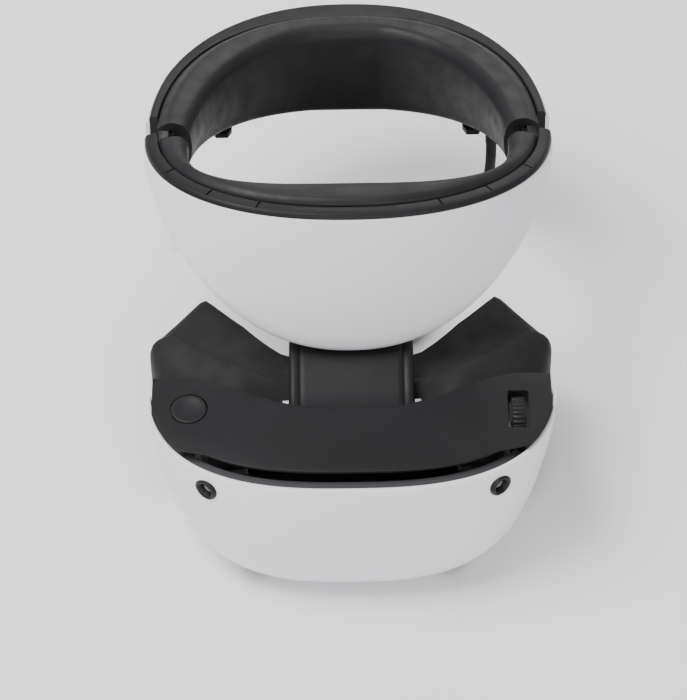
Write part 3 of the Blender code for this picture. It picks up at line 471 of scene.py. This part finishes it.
def build_front_band():
    def cover(angle):
        low = crescent_foot(angle)
        height = COVER_TOP - low
        roll = min(0.008, 0.3 * height)
        t = COVER_WALL
        corners = [
            (0.0004, COVER_TOP), (0.0, COVER_TOP - 0.3 * height), (0.0, COVER_TOP - 0.6 * height),
            (0.0, low + roll), (0.0010, low + 0.35 * roll), (0.0036, low), (0.0041, low + 0.9 * t),
            (t + 0.0010, low + 0.5 * roll + 0.0006), (t, low + roll), (t, COVER_TOP - 0.6 * height),
            (t, COVER_TOP),
        ]
        soft = [0.0006, 0.004, 0.006, 0.004, 0.004, 0.0012, 0.0006, 0.002, 0.003, 0.004, 0.0005]
        return rounded(corners, soft, 4)

    bm = bmesh.new()
    sweep_band(bm, -87, 87, 180, cover)
    put("front_shell", bm, "white_shell", "front_band", stands_for=("front_cover",))

    def frame_ring(angle):
        low = crescent_foot(angle) + min(0.010, 0.4 * (COVER_TOP - crescent_foot(angle)))
        near = COVER_WALL + GAP
        far = near + 0.0045
        top = COVER_TOP + 0.0035
        corners = [
            (near, COVER_TOP - 0.0006), (near + 0.0006, low), (far, low), (far, top + 0.0004),
            (0.0034, top - 0.0002), (0.0014, top - 0.0010), (0.0006, COVER_TOP + GAP),
            (near, COVER_TOP + GAP),
        ]
        return rounded(corners, [0.0003, 0.001, 0.001, 0.0005, 0.0030, 0.0012, 0.0002, 0.0002], 4)

    bm = bmesh.new()
    sweep_band(bm, -89, 89, 180, frame_ring)
    ring = put("front_ring", bm, "black_shell", "front_band", stands_for=("front_frame",))
    for degrees in (24.5, 42, 62.5):
        for side in (-1, 1):
            angle = radians(side * degrees)
            inner = band_point(angle, 0.0090, COVER_TOP + 0.0030)
            outer = band_point(angle, -0.0020, COVER_TOP + 0.0030)
            along = (outer - inner).normalized()
            up = (band_to_world(0, 0, 1)).normalized()
            across = along.cross(up)
            bm = bmesh.new()
            rings = []
            for end in (inner, outer):
                rings.append([end + across * a + up * b for a, b in
                              ((-0.00045, -0.0004), (0.00045, -0.0004), (0.00045, 0.004),
                               (-0.00045, 0.004))])
            loft(bm, rings)
            subtract(ring, tool(bm))


def pad_object(name, first, last, steps, section, body, node):
    bm = bmesh.new()
    sweep_band(bm, first, last, steps, section)
    made = put(name, bm, "pad", body, smooth=80, stands_for=(node,))
    return made


def build_pads():
    def front(angle):
        spread = max(cos(angle), 0.0)
        near = COVER_WALL + 0.0045 + 3 * GAP
        far = brow_depth(angle)
        top = COVER_TOP + 0.0040 + 0.0040 * spread
        low = crescent_foot(angle) + min(0.012, 0.5 * (COVER_TOP - crescent_foot(angle)))
        middle = 0.5 * (near + far)
        corners = [
            (near, low + 0.001), (middle, low - 0.0008), (far - 0.001, low + 0.0004),
            (far + 0.0002, low + 0.006),
            (far + 0.0006, 0.5 * (low + top)), (far, top - 0.0040), (far - 0.0030, top - 0.0002),
            (middle, top + 0.0004), (near + 0.0022, top - 0.0008), (near, top - 0.0030),
        ]
        return rounded(corners, [0.002, 0.006, 0.004, 0.006, 0.010, 0.005, 0.005, 0.006, 0.0022, 0.0014], 5)

    pad_object("brow_pad", -85.5, 85.5, 170, front, "front_band", "forehead_pad")

    def rear(angle):
        spread = max(-cos(angle), 0.0)
        over = rear_frame_depth(angle) + 2 * GAP
        under = max(0.0145, over)
        far = under + 0.0085 + 0.0105 * spread
        top, low = 0.0125 + 0.0015 * spread, -0.0120 - 0.0295 * spread
        arm = 0.0078
        middle = 0.5 * (top + low)
        corners = [
            (under, low + 0.002), (0.5 * (under + far), low - 0.0006), (far - 0.0012, low + 0.0024),
            (far, low + 0.3 * (top - low)), (far + 0.0004, middle), (far - 0.0006, top - 0.0060),
            (far - 0.0040, top - 0.0010), (over + 0.0065, top + 0.0003), (over + 0.0012, 0.0098),
            (over, 0.0088), (over, arm), (under, arm),
        ]
        soft = [0.003, 0.006, 0.006, 0.008, 0.010, 0.006, 0.005, 0.006, 0.0012, 0.0008, 0.0004, 0.0004]
        return rounded(corners, soft, 5)

    pad_object("nape_pad", 93.5, 266.5, 180, rear, "rear_band", "rear_pad")


def build_rear_band():
    t = COVER_WALL

    def cover(angle):
        drop = rear_drop(angle)
        corners = [
            (-0.0004, 0.0062), (-0.0010, 0.0050), (-0.0010, -0.0180 - drop), (0.0010, -0.0230 - drop),
            (0.0010 + t, -0.0215 - drop), (t - 0.0010, -0.0175 - drop), (t - 0.0010, 0.0062),
        ]
        return rounded(corners, [0.0004, 0.001, 0.004, 0.001, 0.0005, 0.003, 0.0003], 4)

    def inner(angle):
        spread = max(-cos(angle), 0.0)
        near = t - 0.0010 + GAP
        near += 0.0002
        far = rear_frame_depth(angle)
        lip = -0.0002 + 0.0017 * max(1 - spread / 0.45, 0.0)
        drop = rear_drop(angle)
        corners = [
            (near, 0.0062), (near, -0.0170 - drop), (near + 0.0022, -0.0215 - drop), (far, -0.0215 - drop),
            (far, 0.0095), (lip + 0.0012, 0.0095), (lip, 0.0083), (lip, 0.0062 + GAP), (near, 0.0062 + GAP),
        ]
        return rounded(corners, [0.0003, 0.003, 0.001, 0.0008, 0.0012, 0.0014, 0.0008, 0.0002, 0.0002], 4)

    back = band_to_world(0, 1, 0)
    hub = band_to_world(0, BAND_REAR, DIAL_HEIGHT)
    bm = bmesh.new()
    sweep_band(bm, 97.5, 262.5, 180, cover)
    shell = put("rear_shell", bm, "white_shell", "rear_band", stands_for=("rear_cover",))
    bm = bmesh.new()
    turned(bm, hub, back, [(0.0150, -0.030), (0.0150, 0.010)])
    subtract(shell, tool(bm))
    bm = bmesh.new()
    sweep_band(bm, 97.5, 262.5, 180, inner)
    ring = put("rear_ring", bm, "black_shell", "rear_band", stands_for=("rear_frame",))
    bm = bmesh.new()
    turned(bm, hub, back, [(0.0042, -0.030), (0.0042, 0.010)])
    subtract(ring, tool(bm))

    # Size dial with a knurled rim
    turn = axis_frame(back)
    knurls = 48
    rings = []
    for radius, height, deep in ((0.0182, 0.0010, 0.0), (0.0192, 0.0018, 0.6), (0.0194, 0.0030, 1.0),
                                 (0.0194, 0.0066, 1.0), (0.0190, 0.0078, 0.6), (0.0180, 0.0086, 0.0),
                                 (0.0122, 0.0088, 0.0), (0.0113, 0.0082, 0.0), (0.0113, 0.0030, 0.0)):
        ring_points = []
        for i in range(8 * knurls):
            angle = tau * i / (8 * knurls)
            r = radius - 0.0007 * deep * max(cos(knurls * angle), 0.0) ** 2
            ring_points.append(hub + turn @ Vector((r * cos(angle), r * sin(angle), height)))
        rings.append(ring_points)
    bm = bmesh.new()
    loft(bm, rings)
    put("dial_cap", bm, "white_shell", "dial", smooth=50, stands_for=("size_dial",))
    bm = bmesh.new()
    turned(bm, hub, back, [(0.0108, 0.0050), (0.0108, 0.0086), (0.0103, 0.0093), (0.0090, 0.0095),
                           (0.0030, 0.0091),
                           (0.0005, 0.0090)])
    put("dial_push", bm, "button_black", "dial_release", stands_for=("dial_button",))


# ---------------------------------------------------------------- visor

VISOR_HALF_WIDTH = 0.1038
VISOR_FOOT_HALF_WIDTH = 0.0860
VISOR_SIDE_Y = -0.0995
VISOR_FRONT_REACH = 0.070
VISOR_FOOT_REACH = 0.078
VISOR_POWER = 2.7
VISOR_TOP = -0.0570
VISOR_FOOT = -0.1450
FASCIA_TOP = VISOR_TOP - 0.0045
FASCIA_WALL = 0.0024
EYE_LEVEL = -0.1030
BUTTON_CENTRE = Vector((-0.0816, -0.1205, VISOR_TOP - 0.0017))
BUTTON_RADIUS = 0.0090
WHEEL_CENTRE = Vector((0.0832, -0.1233, VISOR_TOP - 0.0145))
WHEEL_RADIUS = 0.0140
CAMERAS = {
    "upper_left": (0.0732, -0.0740, 0.0, (0.62, -0.78, 0.05)),
    "upper_right": (-0.0732, -0.0740, 0.0, (-0.62, -0.78, 0.05)),
    "lower_left": (0.0500, -0.1415, 0.0125, (0.12, -0.42, -0.90)),
    "lower_right": (-0.0500, -0.1415, 0.0125, (-0.12, -0.42, -0.90)),
}
CAMERA_RADIUS = 0.0058


def visor_reach(z):
    """Half width and forward reach of the visor's outline at height z."""
    t = min(max((FASCIA_TOP - z) / (FASCIA_TOP - VISOR_FOOT), 0.0), 1.0)
    half = VISOR_HALF_WIDTH + (VISOR_FOOT_HALF_WIDTH - VISOR_HALF_WIDTH) * t ** 1.4
    return half, VISOR_FRONT_REACH + (VISOR_FOOT_REACH - VISOR_FRONT_REACH) * t + 0.004 * sin(pi * t)


def visor_point(angle, inset, z):
    """A point on the visor's outline: angle -90 is the +X side, 0 the front, 90 the -X side."""
    half, reach = visor_reach(z)
    x = -(half - inset) * abs(sin(angle)) ** (2 / VISOR_POWER) * (1 if angle >= 0 else -1)
    y = VISOR_SIDE_Y - (reach - inset) * max(cos(angle), 0.0) ** (2 / VISOR_POWER)
    return Vector((x, y, z))


def visor_front_y(x, z, inset=0.0):
    """How far forward the outline reaches at x."""
    half, reach = visor_reach(z)
    ratio = min(abs(x) / (half - inset), 0.9999)
    return VISOR_SIDE_Y - (reach - inset) * (1 - ratio ** VISOR_POWER) ** (1 / VISOR_POWER)


def vent_inset(x):
    """The top panel stops short of the outline at the front, which leaves the vent gap."""
    share = min(max((abs(x) - 0.070) / 0.020, 0.0), 1.0)
    return 0.0068 - 0.0054 * share * share * (3 - 2 * share)


def top_rear_y(x):
    share = min(abs(x) / 0.088, 1.0) ** 1.35
    return -0.1220 + 0.0225 * sin(0.5 * pi * share) ** 2


def sweep_visor(bm, span, steps, section):
    """Sweeps section(angle), a closed list of (inset, z), along the visor's outline."""
    rings = []
    for i in range(steps + 1):
        angle = radians(-span + 2 * span * i / steps)
        rings.append([visor_point(angle, p[0], p[1]) for p in section(angle)])
    loft(bm, rings)


def build_fascia():
    t = FASCIA_WALL
    foot = VISOR_FOOT

    def shell(angle):
        top = FASCIA_TOP - 0.0024 * max(cos(angle), 0.0) ** 1.5
        corners = [
            (0.0004, top), (0.0, top - 0.012), (0.0, top - 0.028), (0.0, top - 0.044),
            (0.0010, foot + 0.0200),
            (0.0040, foot + 0.0110), (0.0095, foot + 0.0042), (0.0180, foot), (0.0183, foot + t),
            (0.0110, foot + 0.0062), (0.0062, foot + 0.0124), (t + 0.0012, foot + 0.0205), (t, top - 0.044),
            (t, top - 0.028), (t, top - 0.012), (t, top),
        ]
        soft = [0.0009, 0.006, 0.008, 0.008, 0.006, 0.006, 0.006, 0.0008, 0.0006, 0.004, 0.004, 0.004, 0.006,
                0.006, 0.005, 0.0005]
        return rounded(corners, soft, 4)

    bm = bmesh.new()
    sweep_visor(bm, 86, 200, shell)
    fascia = put("fascia", bm, "white_shell", "visor", stands_for=("visor_front_cover",))
    for name, (x, z, inset, axis) in CAMERAS.items():
        axis = Vector(axis).normalized()
        centre = Vector((x, visor_front_y(x, z, inset), z))
        bm = bmesh.new()
        turned(bm, centre, axis, [(CAMERA_RADIUS + GAP, -0.020), (CAMERA_RADIUS + GAP, 0.010)])
        subtract(fascia, tool(bm))
        bm = bmesh.new()
        r = CAMERA_RADIUS
        bezel = [(r, -0.0085), (r, 0.0001), (r - 0.0002, 0.0006), (r - 0.0007, 0.0009),
                 (r - 0.0013, 0.0007),
                 (r - 0.0020, 0.0000), (0.0034, -0.0012), (0.0031, -0.0020), (0.0028, -0.0020),
                 (0.0028, -0.0085)]
        turned(bm, centre, axis, bezel, hollow=True)
        put("bezel_" + name, bm, "button_black", "visor", stands_for=("camera_" + name,))
        bm = bmesh.new()
        dome = [(0.0030, -0.0060), (0.0030, -0.0020)]
        dome += [(0.0030 * cos(pi / 2 * k / 8), -0.0020 + 0.0011 * sin(pi / 2 * k / 8)) for k in range(1, 8)]
        turned(bm, centre, axis, dome + [(0.0001, -0.0009)])
        put("eye_" + name, bm, "gloss_black", "visor")


def build_top_panel():
    bm = bmesh.new()
    rings = []
    steps = 160
    for i in range(steps + 1):
        x = (VISOR_HALF_WIDTH - 0.0034) * sin(radians(-90 + 180 * i / steps))
        rear, front = top_rear_y(x), visor_front_y(x, FASCIA_TOP, vent_inset(x))
        crown = VISOR_TOP - 0.0026 * (x / VISOR_HALF_WIDTH) ** 2
        thick = 0.0030 - 0.0015 * min(abs(x) / 0.080, 1.0) ** 4
        corners = [(rear, crown - thick), (rear, crown), (rear + 0.33 * (front - rear), crown),
                   (rear + 0.66 * (front - rear), crown), (front, crown - 0.0003),
                   (front + 0.0008, crown - thick)]
        ring = rounded(corners, [0.0003, 0.0012, 0.004, 0.004, 0.0014, 0.0004], 5)
        rings.append([Vector((x, p[0], p[1])) for p in ring])
    loft(bm, rings)
    panel = put("top_panel", bm, "black_shell", "visor", stands_for=("visor_top_panel",))
    bm = bmesh.new()
    hole = BUTTON_RADIUS + 0.0005
    turned(bm, BUTTON_CENTRE, (0, 0, 1), [(hole, -0.010), (hole, 0.010)])
    subtract(panel, tool(bm))
    bm = bmesh.new()
    slot = rounded([(-0.0053, -0.0118), (0.0053, -0.0118), (0.0053, 0.0118), (-0.0053, 0.0118)], 0.0016, 6)
    loft(bm, [[Vector((WHEEL_CENTRE.x + p[0], WHEEL_CENTRE.y + p[1], VISOR_TOP + h)) for p in slot]
              for h in (-0.02, 0.02)])
    subtract(panel, tool(bm))

    bm = bmesh.new()
    top = FASCIA_TOP
    high, low = top - 0.0034, top - 0.0048
    ledge = rounded([(0.0030, high), (0.0030, low), (0.0074, low), (0.0074, high)], 0.0004, 3)
    sweep_visor(bm, 52, 120, lambda angle: ledge)
    put("vent_bar", bm, "inner_plastic", "visor", stands_for=("vent_ledge",))


def build_controls():
    r = BUTTON_RADIUS
    bm = bmesh.new()
    cap = [(r, -0.0040), (r, -0.0003), (r - 0.0002, 0.0002), (r - 0.0007, 0.0004), (r - 0.0018, 0.0003),
           (0.6 * r, -0.0003), (0.3 * r, -0.0006), (0.0004, -0.0007)]
    turned(bm, BUTTON_CENTRE, (0, 0, 1), cap)
    put("release_cap", bm, "button_black", "release_button", stands_for=("visor_release_button",))

    bm = bmesh.new()
    ribs = 34
    rings = []
    for radius, x, deep in ((0.88, -0.0036, 0.0), (0.965, -0.0034, 0.3), (1.0, -0.0028, 1.0),
                            (1.0, 0.0028, 1.0),
                            (0.965, 0.0034, 0.3), (0.88, 0.0036, 0.0)):
        ring = []
        for i in range(10 * ribs):
            angle = tau * i / (10 * ribs)
            reach = WHEEL_RADIUS * radius - 0.0010 * deep * max(cos(ribs * angle), 0.0) ** 1.5
            ring.append(WHEEL_CENTRE + Vector((x, reach * cos(angle), reach * sin(angle))))
        rings.append(ring)
    loft(bm, rings)
    put("spacing_dial", bm, "button_black", "spacing_wheel", smooth=50, stands_for=("lens_spacing_wheel",))


def build_neck():
    """A smooth tongue with rounded edges, between the head band and the visor."""
    level, t, half, end = -0.0650, 0.0045, 0.0315, -0.1480
    top, under_z = level + t / 2, level - t / 2
    line = [(-0.0760, top + 0.0088), (-0.0880, top + 0.0074), (-0.0980, top + 0.0050),
            (-0.1060, top + 0.0022),
            (-0.1130, top + 0.0004), (-0.1230, top), (end, top)]
    under = [(end, under_z), (-0.1230, under_z), (-0.1080, under_z + 0.0016), (-0.0960, under_z + 0.0040),
             (-0.0860, under_z + 0.0060), (-0.0760, under_z + 0.0070)]
    bm = bmesh.new()
    rings = []
    strip = 0.0052
    across = [(0.0, 0.0020), (0.0003, 0.0010), (0.0009, 0.0003), (0.0018, 0.0), (strip - 0.0006, 0.0),
              (strip, 0.0006), (strip + 0.0006, 0.0), (strip + 0.0030, 0.0)]
    stations = [(-half + a, d) for a, d in across] + [(0.0, 0.0)] + [(half - a, d) for a, d in reversed(across)]
    for x, drop in stations:
        ring = [Vector((x, y, height - drop)) for y, height in line]
        ring += [Vector((x, y, height + 0.4 * drop)) for y, height in under]
        rings.append(ring)
    loft(bm, rings)
    put("tongue", bm, "black_shell", "front_band", smooth=50, stands_for=("neck",))


def oval(half_width, half_height, power, steps):
    """Points (x, z, angle) round an oval about the middle of the face opening."""
    points = []
    for i in range(steps):
        angle = tau * i / steps
        c, s = cos(angle), sin(angle)
        points.append((half_width * (1 if c >= 0 else -1) * abs(c) ** (2 / power),
                       half_height * (1 if s >= 0 else -1) * abs(s) ** (2 / power), angle))
    return points


SHIELD = [
    (-0.1205, -0.1060, 0.0880, 0.0335, 0.0, 0.000),
    (-0.1120, -0.0940, 0.0985, 0.0370, 0.0005, 0.004),
    (-0.1040, -0.0700, 0.1036, 0.0400, 0.0010, 0.008),
    (-0.0995, -0.0630, 0.1000, 0.0380, 0.0, 0.012),
    (-0.0930, -0.0525, 0.0915, 0.0372, 0.0, 0.017),
    (-0.0850, -0.0400, 0.0815, 0.0375, -0.0005, 0.022),
]


def shield_ring(y_mid, y_side, half_x, half_z, rise, notch, inset):
    """One ring of the light shield: y runs from y_mid at the middle to y_side at the sides."""
    ring = []
    for x, z, angle in oval(half_x - inset, half_z - inset, 9, 240):
        share = min(abs(x) / (0.92 * half_x), 1.0) ** 2
        y = y_mid + (y_side - y_mid) * share
        if sin(angle) < 0:
            z += notch * max(1 - (x / 0.030) ** 2, 0.0)
        elif sin(angle) > 0:
            z -= 0.0100 * max(1 - (x / 0.055) ** 2, 0.0)
        ring.append(Vector((x, y, EYE_LEVEL + rise + z)))
    return ring


def build_light_shield():
    """Soft rubber, with a ridge where it turns towards the face and a rolled rear edge."""
    wall = 0.0018
    stations = []
    per_span = 5
    for k in range(len(SHIELD) - 1):
        before = SHIELD[max(k - 1, 0)]
        a, b = SHIELD[k], SHIELD[k + 1]
        after = SHIELD[min(k + 2, len(SHIELD) - 1)]
        for step in range(per_span):
            t = step / per_span
            curve = [0.5 * (2 * q + (r - p) * t + (2 * p - 5 * q + 4 * r - s) * t * t
                            + (3 * q - p - 3 * r + s) * t ** 3) for p, q, r, s in zip(before, a, b, after)]
            line = [q + (r - q) * t for q, r in zip(a, b)]
            stations.append([0.55 * c + 0.45 * w for c, w in zip(curve, line)])
    stations.append(list(SHIELD[-1]))
    bm = bmesh.new()
    outer = [shield_ring(*numbers, 0.0) for numbers in stations]
    edge = list(SHIELD[-1])
    edge[0] += 0.0007
    edge[1] += 0.0007
    lip = [shield_ring(*edge, 0.0005), shield_ring(*edge, wall - 0.0005)]
    inner = [shield_ring(*numbers, wall) for numbers in reversed(stations)]
    loft(bm, outer + lip + inner, looped=True)
    put("face_shield", bm, "rubber", "visor", smooth=50, stands_for=("light_shield",))


# ---------------------------------------------------------------- cable

CABLE_RADIUS = 0.0029
CABLE_LENGTH = 4.5
COIL_CENTRE = Vector((0.000, 0.029))
COIL_COLUMNS = 5
COIL_ROWS = 4
TURNS_PER_ROW = 4.25
POINTS_PER_TURN = 24
COIL_LOW = VISOR_FOOT + 0.0011 + GAP
GLAND_TOP = band_to_world(0.0785, 0.0805, -0.0242)
GLAND_LENGTH = 0.0285
MEAN_RADIUS_LIMITS = (0.030, 0.040)
HALVINGS = 30
DROP = [
    (0.0785, 0.0730, -0.0745), (0.0785, 0.0733, -0.0850), (0.0778, 0.0742, -0.0960),
    (0.0750, 0.0755, -0.1080),
    (0.0700, 0.0765, -0.1190), (0.0625, 0.0772, -0.1290), (0.0530, 0.0775, -0.1365),
    (0.0420, 0.0773, -0.1408),
    (0.0330, 0.0768, -0.1419), (0.0260, 0.0765, -0.1420),
]
TAIL = [
    (-0.0260, 0.0765, -0.1245), (-0.0340, 0.0760, -0.1275), (-0.0420, 0.0752, -0.1330),
    (-0.0500, 0.0746, -0.1385),
    (-0.0580, 0.0743, -0.1415), (-0.0640, 0.0742, -0.1420),
]


def smooth_points(points, per_span):
    """Points on a Catmull-Rom curve through the given ones."""
    points = [Vector(p) for p in points]
    ends = [2 * points[0] - points[1]] + points + [2 * points[-1] - points[-2]]
    made = []
    for i in range(1, len(ends) - 2):
        a, b, c, d = ends[i - 1: i + 3]
        for k in range(per_span):
            t = k / per_span
            made.append(0.5 * (2 * b + (c - a) * t + (2 * a - 5 * b + 4 * c - d) * t * t
                               + (3 * b - a - 3 * c + d) * t * t * t))
    made.append(points[-1])
    return made


def coil_points(mean):
    """The coil's centreline: flat spirals lying on each other, alternately inward and outward."""
    reach = CABLE_RADIUS * (COIL_COLUMNS - 1)
    stages = []
    for row in range(COIL_ROWS):
        ends = (mean + reach, mean - reach) if row % 2 == 0 else (mean - reach, mean + reach)
        stages.append((TURNS_PER_ROW, *ends, row, row))
        if row < COIL_ROWS - 1:
            stages.append((1.0, ends[1], ends[1], row, row + 1))
    made, angle = [], pi / 2
    for turns, from_r, to_r, from_row, to_row in stages:
        count = round(turns * POINTS_PER_TURN)
        for k in range(count):
            t = k / count
            r = from_r + (to_r - from_r) * t
            level = COIL_LOW + CABLE_RADIUS * (1 + 2 * (from_row + (to_row - from_row) * t))
            turned_by = angle + tau * turns * t
            x = COIL_CENTRE.x + r * cos(turned_by)
            y = COIL_CENTRE.y + r * sin(turned_by)
            made.append(Vector((x, y, level)))
        angle += tau * turns
    return made


def path_length(points):
    return sum((b - a).length for a, b in zip(points, points[1:]))


def cable_path():
    """The whole cable, its coil opened just far enough to give the real length."""
    start = GLAND_TOP - Vector((0, 0, GLAND_LENGTH))
    drop = smooth_points([start] + DROP, 3)
    tail = smooth_points(TAIL, 3)
    low, high = MEAN_RADIUS_LIMITS
    for _ in range(HALVINGS):
        mean = 0.5 * (low + high)
        points = drop + coil_points(mean) + tail
        if path_length(points) > CABLE_LENGTH:
            high = mean
        else:
            low = mean
    return points


def tube(bm, points, radius, sides=12):
    side = Vector((0, 1, 0))
    rings = []
    for i, point in enumerate(points):
        along = (points[min(i + 1, len(points) - 1)] - points[max(i - 1, 0)]).normalized()
        side = (side - along * side.dot(along)).normalized()
        up = along.cross(side)
        rings.append([point + radius * (cos(tau * k / sides) * side + sin(tau * k / sides) * up)
                      for k in range(sides)])
    loft(bm, rings)


def build_cable():
    path = cable_path()
    bm = bmesh.new()
    tube(bm, path, CABLE_RADIUS)
    made = make_piece("cable_cord", bm, "rubber", 60)
    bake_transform(made)
    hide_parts("cable", "cable_coil", "cable_tail")


RELEASE_SPRING_DEPTH = 0.0105
DIAL_SPRING_SEAT = 0.0033


def spring_piece(name, base, axis, radius, wire, height, turns, body, node):
    """A coil spring standing on base along axis."""
    to_axis = axis_frame(axis)
    count = round(16 * turns)
    points = []
    for k in range(count + 1):
        turned_by = tau * turns * k / count
        along = wire + (height - 2 * wire) * k / count
        place = Vector((radius * cos(turned_by), radius * sin(turned_by), along))
        points.append(Vector(base) + to_axis @ place)
    bm = bmesh.new()
    tube(bm, points, wire, 8)
    made = put(name, bm, "steel", body, 60, stands_for=(node,))
    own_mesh(made)


def build_springs():
    floor = BUTTON_CENTRE - Vector((0, 0, RELEASE_SPRING_DEPTH))
    spring_piece("release_spring", floor, (0, 0, 1), 0.0045, 0.0004, 0.0062, 4, "visor",
                 "release_button_spring")
    back = band_to_world(0, 1, 0)
    hub = band_to_world(0, BAND_REAR, DIAL_HEIGHT)
    spring_piece("dial_spring", hub + DIAL_SPRING_SEAT * back, back, 0.0062, 0.0003, 0.0014, 1.5, "dial",
                 "dial_button_spring")


build_front_band()
build_pads()
build_rear_band()
build_fascia()
build_top_panel()
build_controls()
build_neck()
build_light_shield()
build_cable()
build_springs()

build_camera()
build_studio()
